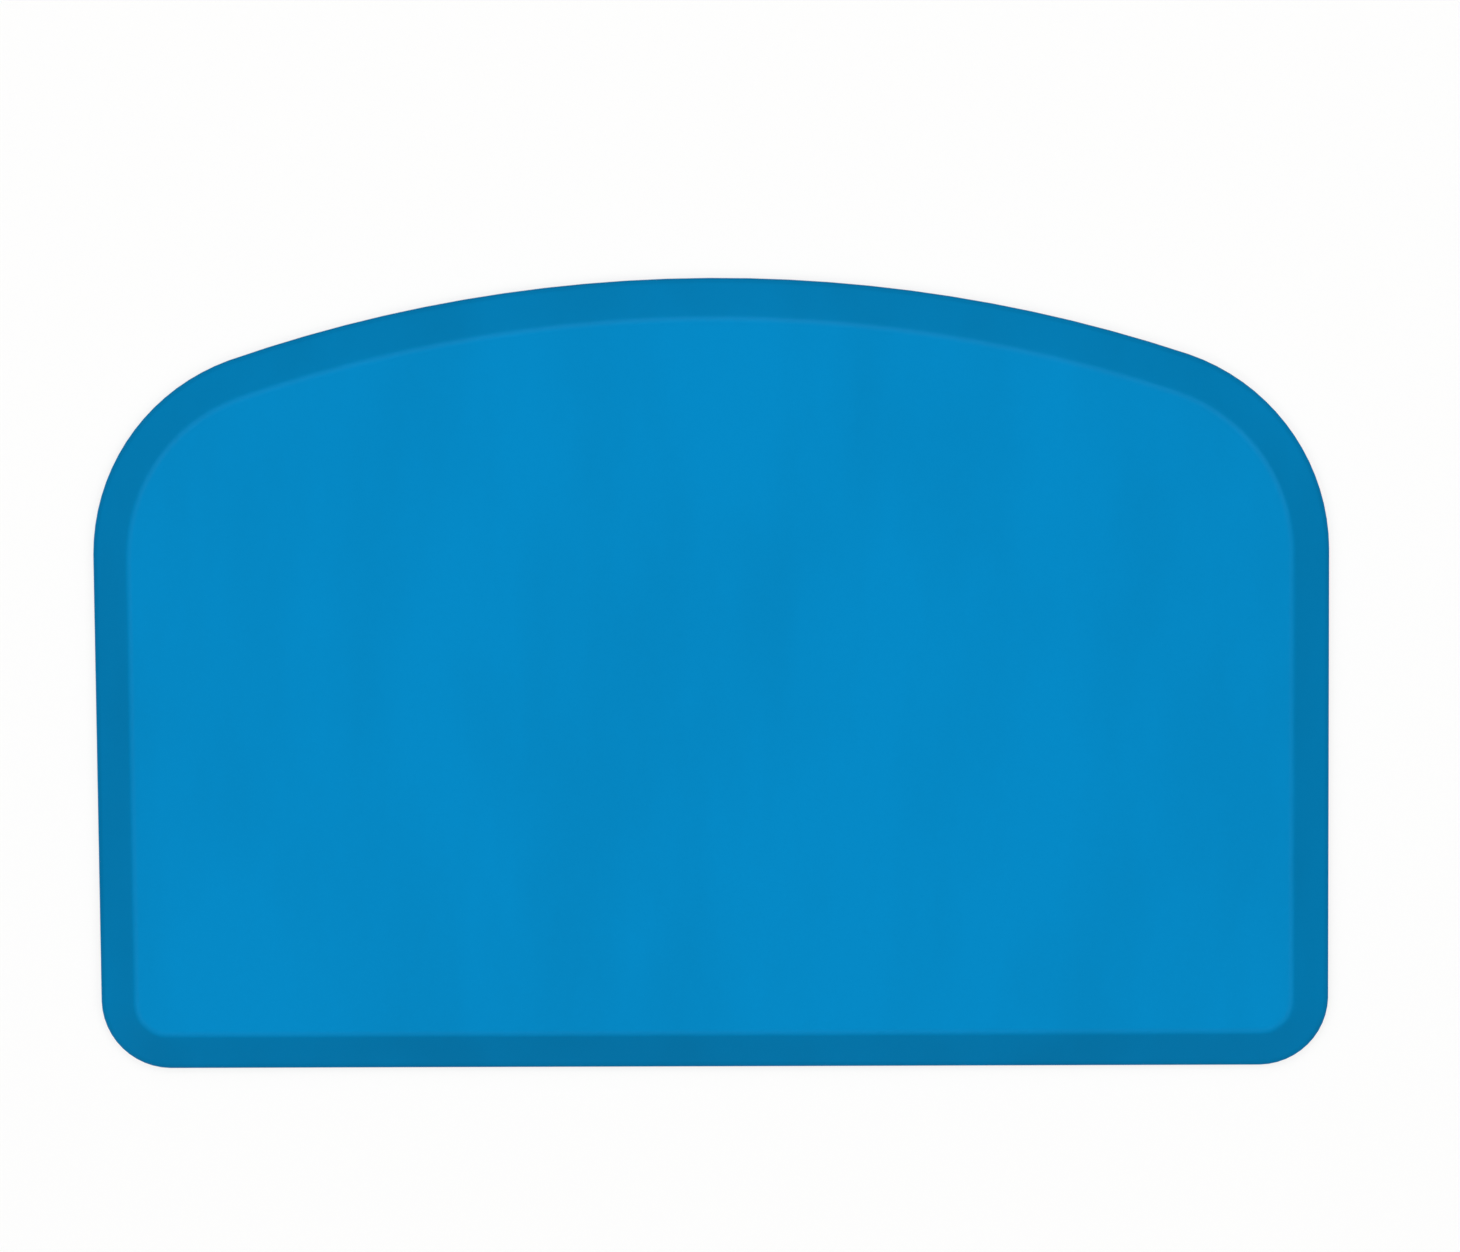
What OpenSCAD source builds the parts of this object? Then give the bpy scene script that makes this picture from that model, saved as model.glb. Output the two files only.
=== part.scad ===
// Bowl scraper: a D-shaped silicone board with a bevelled, flexible lip all the way round.
// A stamped stainless plate stiffens the middle of the board. The silicone is moulded in two shots: the front
// with its lip first, then a skin that closes the back over the plate and keys through the plate's holes.
// X runs along the straight edge, +Y points to the crown, +Z points out of the front face.
// The origin is the middle of the back face.

/* [Board] */
// Width over the two straight sides
board_w = 140; // [115:1:180]
// Height from the straight edge to the top of the crown
board_h = 90; // [78:1:120]
// Thickness at the flat face
board_t = 4.3; // [3.9:0.1:6]

/* [Outline] */
// Radius of the shallow crown arc
crown_r = 168.7; // [120:0.1:300]
// Radius of the two shoulders
shoulder_r = 23.6; // [14:0.1:30]
// Radius of the two corners beside the straight edge
corner_r = 7.9; // [7:0.1:14]

/* [Scraping lip] */
// Width of the bevel, seen from the front
bevel_w = 4.4; // [3:0.1:5]
// Thickness of the lip at its outer edge
lip_t = 0.9; // [0.6:0.05:1.4]
// Rounding of the lip's front edge
lip_r = 0.3; // [0.1:0.05:0.5]
// Rounding of the lip's back edge, which lies on the mould's parting plane
back_edge_r = 0.2; // [0.05:0.05:0.3]
// Rounding of the border between the bevel and the flat face
border_r = 1.6; // [0.5:0.1:2.5]

/* [Stiffener] */
// Thickness of the stainless sheet
plate_t = 0.8; // [0.5:0.1:1]
// Distance from the board's outline to the plate's edge
plate_inset = 8; // [7.5:0.1:12]
// Radius of the plate's two lower corners
plate_corner_r = 3; // [1:0.5:6]
// Diameter of the keying holes
key_hole_d = 4.5; // [3:0.1:7]
// Distance between neighbouring keying holes
key_pitch = 14; // [10:0.5:24]
// Least sheet left between a keying hole and the plate's edge
key_margin = 3.5; // [2:0.5:8]

/* [Rear skin] */
// Thickness of the silicone behind the plate
skin_t = 1.2; // [0.8:0.1:1.5]
// Distance from the board's outline to the skin's edge
skin_inset = 6; // [5.5:0.1:7]
// Radius of the skin's two lower corners
skin_corner_r = 2; // [1:0.5:5]
// Depth of the blind sockets that take the skin's pegs
socket_depth = 0.6; // [0.3:0.1:1]
// Clearance round the plate, the skin and the pegs
fit_gap = 0.05; // [0.02:0.01:0.15]

/* [Hidden] */
$fn = 128;
silicone_blue = [0.01, 0.53, 0.77];
stainless = [0.72, 0.73, 0.74];

half_w = board_w / 2;
half_h = board_h / 2;
// The bevel's angle to the flat face
bevel_angle = atan((board_t - lip_t) / bevel_w);
// Length of the border's rounding along the flat face and along the bevel
border_len = border_r * tan(bevel_angle / 2);
// Length of the lip's front rounding along the wall and along the bevel
lip_len = lip_r * tan((90 - bevel_angle) / 2);
// Chords in each rounding of the rim
round_steps = 5;
// How far cutting shapes run past what they cut
over = 1;
// A corner is turned this much larger than its tangent arcs, so that it crosses the straight runs cleanly
blend = 0.002;

// Levels of the layers, counted from the back face
plate_z = skin_t;
front_wall_z = skin_t + plate_t;
peg_top_z = front_wall_z + socket_depth;

// Points on an arc from angle a0 to angle a1
function arc_points(centre, radius, a0, a1, steps) =
    [for (i = [0:steps]) let (a = a0 + (a1 - a0) * i / steps)
        centre + radius * [cos(a), sin(a)]];

// The rim's cross-section from back to front, as [distance in from the outline, height]
rim_section = concat(
    arc_points([back_edge_r, back_edge_r], back_edge_r, 270, 180, round_steps),
    arc_points([lip_r, lip_t - lip_len], lip_r, 180, 90 + bevel_angle, round_steps),
    arc_points([bevel_w + border_len, board_t - border_r], border_r, 90 + bevel_angle, 90, round_steps)
);

// An upright wall between two heights, as a rim section
function wall_section(low, high) = [[0, low], [0, high]];

// The same section with its ends carried on above and below, for shapes that cut
function cutting_section(section) = concat(
    [section[0] - [0, over]], section, [section[len(section) - 1] + [0, over]]);

// Centre of the crown arc, and of the shoulder that is tangent to both the crown and the straight side
crown_centre_y = half_h - crown_r;
shoulder_x = half_w - shoulder_r;
shoulder_y = crown_centre_y + sqrt(pow(crown_r - shoulder_r, 2) - pow(shoulder_x, 2));
// Direction from the crown's centre through the shoulder's centre
shoulder_angle = atan2(shoulder_y - crown_centre_y, shoulder_x);

// True where a point lies at least this far inside the board's outline
function inside_board(x, y, inset) =
    abs(x) <= half_w - inset && y >= inset - half_h
    && norm([x, y - crown_centre_y]) <= crown_r - inset
    && (abs(x) < shoulder_x || y < shoulder_y
        || norm([abs(x) - shoulder_x, y - shoulder_y]) <= shoulder_r - inset);

// A turned body with the rim section on its outside
module turned(radius, section)
    rotate_extrude()
        polygon(concat(
            [[0, section[0].y]],
            [for (p = section) [radius - p.x, p.y]],
            [[0, section[len(section) - 1].y]]));

// A bar along Y with the rim section on both of its long sides
module side_to_side(width, section)
    rotate([90, 0, 0])
        linear_extrude(board_h * 2, center = true)
            polygon(concat(
                [for (p = section) [width / 2 - p.x, p.y]],
                [for (i = [len(section) - 1:-1:0]) [section[i].x - width / 2, section[i].y]]));

// A slab along X with the rim section on the straight edge's side
module straight_edge(bottom_y, section)
    rotate([90, 0, 90])
        linear_extrude(board_w * 2, center = true)
            polygon(concat(
                [for (p = section) [bottom_y + p.x, p.y]],
                [[board_h, section[len(section) - 1].y], [board_h, section[0].y]]));

// What lies outside a rounded corner, between the directions a0 and a1 from the corner's centre
module corner_waste(centre, radius, a0, a1, section) {
    reach = radius * 3 + over;
    low = section[0].y - over;
    high = section[len(section) - 1].y + over;
    translate(centre)
        difference() {
            translate([0, 0, low])
                linear_extrude(high - low)
                    polygon([[0, 0], reach * [cos(a0), sin(a0)],
                        1.5 * reach * [cos((a0 + a1) / 2), sin((a0 + a1) / 2)],
                        reach * [cos(a1), sin(a1)]]);
            turned(radius + blend, cutting_section(cutting_section(section)));
        }
}

// A D-shaped body that lies this far inside the board's outline, with the given section on its edge
module d_body(inset, lower_corner_r, section)
    difference() {
        intersection() {
            side_to_side(board_w - 2 * inset, section);
            translate([0, crown_centre_y])
                turned(crown_r - inset, cutting_section(section));
            straight_edge(inset - half_h, cutting_section(section));
        }
        for (side = [0, 1])
            mirror([side, 0, 0]) {
                corner_waste([shoulder_x, shoulder_y, 0], shoulder_r - inset, 0, shoulder_angle, section);
                corner_waste([half_w - inset - lower_corner_r, inset + lower_corner_r - half_h, 0],
                    lower_corner_r, -90, 0, section);
            }
    }

// Places of the keying holes: a square grid, kept where the sheet round each hole is wide enough
key_inset = plate_inset + key_margin + key_hole_d / 2;
key_columns = floor(half_w / key_pitch);
key_rows = floor(half_h / key_pitch);
key_places = [
    for (row = [-key_rows:key_rows], column = [-key_columns:key_columns])
        let (x = column * key_pitch, y = row * key_pitch)
            if (inside_board(x, y, key_inset)) [x, y]
];

module at_keys()
    for (place = key_places)
        translate(place)
            children();

// First shot of silicone: face, bevel and lip, with a stepped recess at the back and blind sockets above it
module front_moulding()
    color(silicone_blue)
        difference() {
            d_body(0, corner_r, rim_section);
            d_body(skin_inset, skin_corner_r, wall_section(-over, skin_t));
            d_body(plate_inset, plate_corner_r, wall_section(-over, front_wall_z));
            at_keys()
                translate([0, 0, skin_t])
                    cylinder(d = key_hole_d, h = peg_top_z - skin_t);
        }

// Stamped sheet plate with its keying holes
module stiffener()
    color(stainless)
        difference() {
            d_body(plate_inset + fit_gap, plate_corner_r - fit_gap, wall_section(plate_z, front_wall_z));
            at_keys()
                translate([0, 0, plate_z - over])
                    cylinder(d = key_hole_d, h = plate_t + 2 * over);
        }

// Second shot of silicone: closes the back flush and locks the plate in with its pegs
module rear_skin()
    color(silicone_blue)
        union() {
            d_body(skin_inset + fit_gap, skin_corner_r - fit_gap, wall_section(0, skin_t));
            at_keys()
                translate([0, 0, skin_t / 2])
                    cylinder(d = key_hole_d - 2 * fit_gap, h = peg_top_z - skin_t / 2);
        }

front_moulding();
stiffener();
rear_skin();
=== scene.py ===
import math

import bpy
from mathutils import Matrix, Vector


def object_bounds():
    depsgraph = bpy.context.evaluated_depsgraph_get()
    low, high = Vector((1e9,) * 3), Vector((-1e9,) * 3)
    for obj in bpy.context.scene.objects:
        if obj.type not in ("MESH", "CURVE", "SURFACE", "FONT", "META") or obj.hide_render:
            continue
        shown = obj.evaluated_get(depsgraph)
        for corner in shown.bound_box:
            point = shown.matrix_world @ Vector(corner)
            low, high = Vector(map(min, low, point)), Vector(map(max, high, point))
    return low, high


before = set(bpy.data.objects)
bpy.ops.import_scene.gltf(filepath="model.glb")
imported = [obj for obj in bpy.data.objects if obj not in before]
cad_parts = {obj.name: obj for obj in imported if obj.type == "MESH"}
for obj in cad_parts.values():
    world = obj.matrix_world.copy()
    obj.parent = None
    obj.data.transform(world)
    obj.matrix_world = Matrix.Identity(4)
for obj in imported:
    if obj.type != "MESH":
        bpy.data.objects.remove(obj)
cad_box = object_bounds()

# Camera: almost straight above the scraper, which lies face up. It stands a little to
# the crown's side and looks back at the middle, so the straight edge is farther off.
camera_place = Vector((0.02073, 0.07868, 0.69528))
camera_aim = Vector((0.00222, 0.00548, 0.0))
camera_up = Vector((0.00503, 0.99448, -0.10484))
lens_mm, sensor_mm = 151.957, 36.0
nearest_seen = 0.05
camera_data = bpy.data.cameras.new("camera")
camera_data.lens = lens_mm
camera_data.sensor_width = sensor_mm
camera_data.clip_start = nearest_seen
camera = bpy.data.objects.new("camera", camera_data)
bpy.context.scene.collection.objects.link(camera)
camera_back = (camera_place - camera_aim).normalized()
camera_right = camera_up.cross(camera_back).normalized()
turn = Matrix((camera_right, camera_back.cross(camera_right), camera_back)).transposed()
camera.matrix_world = Matrix.Translation(camera_place) @ turn.to_4x4()
bpy.context.scene.camera = camera
bpy.context.scene.view_settings.view_transform = "Standard"

# Studio table: a white laminate sheet that runs on past the picture on every side.
# The camera and shiny parts see it nearly white, and it still holds a faint shadow.
# It lies a hair under the scraper's back, so that the two faces don't coincide.
table_half, table_gap = 2.5, 0.00004
table_mesh = bpy.data.meshes.new("studio_table")
signs = ((-1, -1), (1, -1), (1, 1), (-1, 1))
corners = [(x * table_half, y * table_half, -table_gap) for x, y in signs]
table_mesh.from_pydata(corners, [], [(0, 1, 2, 3)])
table = bpy.data.objects.new("studio_table", table_mesh)
bpy.context.scene.collection.objects.link(table)


def colour(hex_code):
    """An sRGB hex colour as linear RGBA."""
    parts = [int(hex_code[i:i + 2], 16) / 255 for i in (1, 3, 5)]
    return [c / 12.92 if c <= 0.04045 else ((c + 0.055) / 1.055) ** 2.4 for c in parts] + [1.0]


def empty_tree(owner):
    """The node tree of a new material or of the room, with nothing in it yet."""
    owner.use_nodes = True
    owner.node_tree.nodes.clear()
    return owner.node_tree


def add(tree, kind, settings=None, links=None):
    """One node of a tree, with its settings and with links into its sockets."""
    node = tree.nodes.new(kind)
    for name, value in (settings or {}).items():
        if name in node.inputs:
            node.inputs[name].default_value = value
        else:
            setattr(node, name, value)
    for name, source in (links or {}).items():
        tree.links.new(source, node.inputs[name])
    return node


def ray_kinds(tree):
    """Whether a ray comes from the camera, and whether from a shiny or a clear part: 1 or 0."""
    path = add(tree, "ShaderNodeLightPath").outputs
    mirrored = add(
        tree, "ShaderNodeMath", {"operation": "ADD", "use_clamp": True},
        {0: path["Is Glossy Ray"], 1: path["Is Transmission Ray"]},
    )
    return path["Is Camera Ray"], mirrored.outputs[0]


# Laminate is plain and matt. To the light that it passes on to the scraper it is a dark
# grey, because a white sheet so close under the rim would light up the slope. Its white
# grows from the shadow's reach outwards, so that it meets the wall unseen.
shadow_reach, sweep_start = 0.25, 1.0
near_white, far_white = 0.78, 0.99
laminate = bpy.data.materials.new("white_laminate")
tree = empty_tree(laminate)
from_camera, from_mirror = ray_kinds(tree)
seen = add(
    tree, "ShaderNodeMath", {"operation": "ADD", "use_clamp": True}, {0: from_camera, 1: from_mirror},
)
place = add(tree, "ShaderNodeTexCoord").outputs["Object"]
far = add(tree, "ShaderNodeVectorMath", {"operation": "LENGTH"}, {0: place})
whiteness = add(
    tree, "ShaderNodeMapRange",
    {"From Min": shadow_reach, "From Max": sweep_start, "To Min": near_white, "To Max": far_white},
    {"Value": far.outputs["Value"]},
)
share = add(
    tree, "ShaderNodeMath", {"operation": "MULTIPLY"},
    {0: seen.outputs[0], 1: whiteness.outputs["Result"]},
)
tint = add(
    tree, "ShaderNodeMix", {"data_type": "RGBA", "A": colour("#5A5A5A"), "B": colour("#FCFCFA")},
    {"Factor": from_camera},
)
sheet = add(tree, "ShaderNodeBsdfDiffuse", links={"Color": tint.outputs["Result"]})
glow = add(tree, "ShaderNodeEmission", {"Color": colour("#FFFFFF"), "Strength": 1.0})
blend = add(
    tree, "ShaderNodeMixShader",
    links={0: share.outputs[0], 1: sheet.outputs[0], 2: glow.outputs[0]},
)
add(tree, "ShaderNodeOutputMaterial", links={"Surface": blend.outputs[0]})
table_mesh.materials.append(laminate)

# Room: white walls where the camera looks past the table, and a white strip of wall low
# down that shiny parts see too. The rest is dim, so that the lamps alone give the light
# and no veil of white lies on the moulding. Heights are the upward part of a direction.
strip_top, strip_fade = 0.1, 0.25
dim_strength, wall_strength = 0.12, 1.0
room = bpy.data.worlds.new("studio_room")
bpy.context.scene.world = room
tree = empty_tree(room)
from_camera, from_mirror = ray_kinds(tree)
way = add(tree, "ShaderNodeTexCoord").outputs["Generated"]
upward = add(tree, "ShaderNodeSeparateXYZ", links={"Vector": way}).outputs["Z"]
strip = add(
    tree, "ShaderNodeMapRange",
    {"From Min": strip_fade, "From Max": strip_top, "To Min": 0.0, "To Max": 1.0}, {"Value": upward},
)
low_wall = add(
    tree, "ShaderNodeMath", {"operation": "MULTIPLY"}, {0: from_mirror, 1: strip.outputs["Result"]},
)
wall = add(
    tree, "ShaderNodeMath", {"operation": "ADD", "use_clamp": True},
    {0: low_wall.outputs[0], 1: from_camera},
)
dim = add(tree, "ShaderNodeBackground", {"Color": colour("#FFFFFF"), "Strength": dim_strength})
white = add(tree, "ShaderNodeBackground", {"Color": colour("#FFFFFF"), "Strength": wall_strength})
blend = add(
    tree, "ShaderNodeMixShader",
    links={0: wall.outputs[0], 1: dim.outputs[0], 2: white.outputs[0]},
)
add(tree, "ShaderNodeOutputWorld", links={"Surface": blend.outputs[0]})

# Lamps: a ring of square soft boxes above the scraper, all facing it. Those on the
# crown's side are brighter, which leaves the straight edge's slope the darkest.
lamp_count, first_bearing = 6, 30
ring_radius, ring_height = 1.05, 1.15
lamp_side, lamp_watts, crown_lean = 0.9, 5.1, 0.3
for i in range(lamp_count):
    bearing = math.radians(first_bearing + i * 360 / lamp_count)
    light = bpy.data.lights.new(f"soft_box_{i + 1}", "AREA")
    light.shape = "SQUARE"
    light.size = lamp_side
    light.energy = lamp_watts * (1 + crown_lean * math.sin(bearing))
    lamp = bpy.data.objects.new(light.name, light)
    lamp.location = (ring_radius * math.cos(bearing), ring_radius * math.sin(bearing), ring_height)
    lamp.rotation_euler = (-lamp.location).to_track_quat("-Z", "Y").to_euler()
    bpy.context.scene.collection.objects.link(lamp)

# Front moulding: the blue D-shaped blade, one piece of silicone rubber pressed in a
# steel mould. Its rim slopes down to a thin lip all the way round, and its back is
# hollow for the stiffener and the rear skin.
mm = 0.001


def pressed_silicone(name, tone_and_painted_shade_by_height, smoothest, roughest):
    """Silicone rubber with a tone for each height in mm, which is painted shade where it falls below
    1, and its roughness between two values.
    """
    # Silicone has a low index, and a fine-blasted mould leaves it satin: an even colour with
    # a weak sheen. The pigment drifts along the flow in the mould, 12 mm across it and three
    # times as far along it. The blasted grain is about 0.1 mm wide, too fine to show, so it
    # is drawn 0.4 mm wide.
    pigment_wide, flow_run = 12 * mm, 3
    pale_at, deep_at = 0.64, 0.36
    grain_wide, grain_high = 0.4 * mm, 0.05 * mm
    board_thick = cad_box[1][2]
    rubber = bpy.data.materials.new(name)
    tree = empty_tree(rubber)
    place = add(tree, "ShaderNodeTexCoord").outputs["Object"]
    flow = add(tree, "ShaderNodeMapping", {"Scale": (1, 1 / flow_run, 1)}, {"Vector": place})
    drift = add(
        tree, "ShaderNodeTexNoise", {"Scale": 1 / pigment_wide, "Detail": 3.0},
        {"Vector": flow.outputs["Vector"]},
    )
    blue = add(tree, "ShaderNodeValToRGB", links={"Fac": drift.outputs["Fac"]})
    blues = ((deep_at, "#0087C3"), (pale_at, "#008BC9"))
    for stop, (at, code) in zip(blue.color_ramp.elements, blues):
        stop.position, stop.color = at, colour(code)
    # The tone by height multiplies the blue. On the front it paints shade on the slope and a painted
    # shadow along the lip's edge.
    height = add(tree, "ShaderNodeSeparateXYZ", links={"Vector": place}).outputs["Z"]
    level = add(tree, "ShaderNodeMapRange", {"From Max": board_thick}, {"Value": height})
    tone_and_painted_shade = add(tree, "ShaderNodeValToRGB", links={"Fac": level.outputs["Result"]})
    stops = tone_and_painted_shade.color_ramp.elements
    while len(stops) < len(tone_and_painted_shade_by_height):
        stops.new(1.0)
    for stop, (height_mm, value) in zip(stops, tone_and_painted_shade_by_height):
        stop.position, stop.color = height_mm * mm / board_thick, (value, value, value, 1)
    blue_with_painted_shade = add(
        tree, "ShaderNodeHueSaturation",
        links={"Color": blue.outputs["Color"], "Value": tone_and_painted_shade.outputs["Color"]},
    )
    grain = add(
        tree, "ShaderNodeTexNoise", {"Scale": 1 / grain_wide, "Detail": 3.0}, {"Vector": place},
    )
    satin = add(
        tree, "ShaderNodeMapRange", {"To Min": smoothest, "To Max": roughest},
        {"Value": grain.outputs["Fac"]},
    )
    relief = add(
        tree, "ShaderNodeBump", {"Strength": 0.3, "Distance": grain_high},
        {"Height": grain.outputs["Fac"]},
    )
    surface = add(
        tree, "ShaderNodeBsdfPrincipled", {"IOR": 1.41, "Specular IOR Level": 0.06},
        {
            "Base Color": blue_with_painted_shade.outputs["Color"],
            "Roughness": satin.outputs["Result"],
            "Normal": relief.outputs["Normal"],
        },
    )
    add(tree, "ShaderNodeOutputMaterial", links={"Surface": surface.outputs[0]})
    return rubber


def dress(node_name, material):
    """Give a piece its one material."""
    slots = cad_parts[node_name].data.materials
    slots.clear()
    slots.append(material)


# Painted shade on the front by height in mm, with the panel and the back at 1: the slope is painted a
# tenth darker so that it looks more shaded, and the thin edge of the lip is painted about a quarter
# darker, as a painted contact shadow.
painted_rim_shade = ((0.0, 1.0), (0.1, 0.74), (1.1, 0.8), (1.4, 0.905), (3.95, 0.905), (4.29, 1.0))
front_rubber = pressed_silicone("pressed_silicone_front", painted_rim_shade, smoothest=0.34, roughest=0.42)
dress("front_moulding", front_rubber)

# Stiffener: a flat blank of stainless sheet, punched with key holes and laid in the
# hollow before the rear skin is moulded over it. The rolled sheet is brushed along X.
scratch_wide, scratch_run, scratch_deep = 0.4 * mm, 60, 0.02 * mm
dark_at, bright_at = 0.3, 0.7
# Brushing leaves a bright grey with glints that stretch across it. The real scratches are
# some 0.05 mm wide, too fine to show, so they are drawn 0.4 mm wide, 60 times as long.
steel = bpy.data.materials.new("brushed_stainless")
tree = empty_tree(steel)
place = add(tree, "ShaderNodeTexCoord").outputs["Object"]
along = add(tree, "ShaderNodeMapping", {"Scale": (1 / scratch_run, 1, 1)}, {"Vector": place})
scratch = add(
    tree, "ShaderNodeTexNoise", {"Scale": 1 / scratch_wide, "Detail": 2.0},
    {"Vector": along.outputs["Vector"]},
)
grey = add(tree, "ShaderNodeValToRGB", links={"Fac": scratch.outputs["Fac"]})
greys = ((dark_at, "#B2B3B5"), (bright_at, "#CFD0D2"))
for stop, (at, code) in zip(grey.color_ramp.elements, greys):
    stop.position, stop.color = at, colour(code)
matt = add(
    tree, "ShaderNodeMapRange",
    {"From Min": dark_at, "From Max": bright_at, "To Min": 0.2, "To Max": 0.42},
    {"Value": scratch.outputs["Fac"]},
)
relief = add(
    tree, "ShaderNodeBump", {"Strength": 0.35, "Distance": scratch_deep},
    {"Height": scratch.outputs["Fac"]},
)
metal = add(
    tree, "ShaderNodeBsdfPrincipled", {"Metallic": 1.0},
    {
        "Base Color": grey.outputs["Color"],
        "Roughness": matt.outputs["Result"],
        "Normal": relief.outputs["Normal"],
    },
)
add(tree, "ShaderNodeOutputMaterial", links={"Surface": metal.outputs[0]})
dress("stiffener", steel)

# Rear skin: the second shot of the same blue silicone. It closes the back over the
# stiffener, and its pegs lock into the front through the key holes. It is pressed
# against a plain mould plate, so it is one tone and a little rougher.
skin_tone, skin_thick_mm = 0.97, 1.2
skin_tones = ((0.0, skin_tone), (skin_thick_mm, skin_tone))
rear_rubber = pressed_silicone("pressed_silicone_rear", skin_tones, smoothest=0.42, roughest=0.52)
dress("rear_skin", rear_rubber)
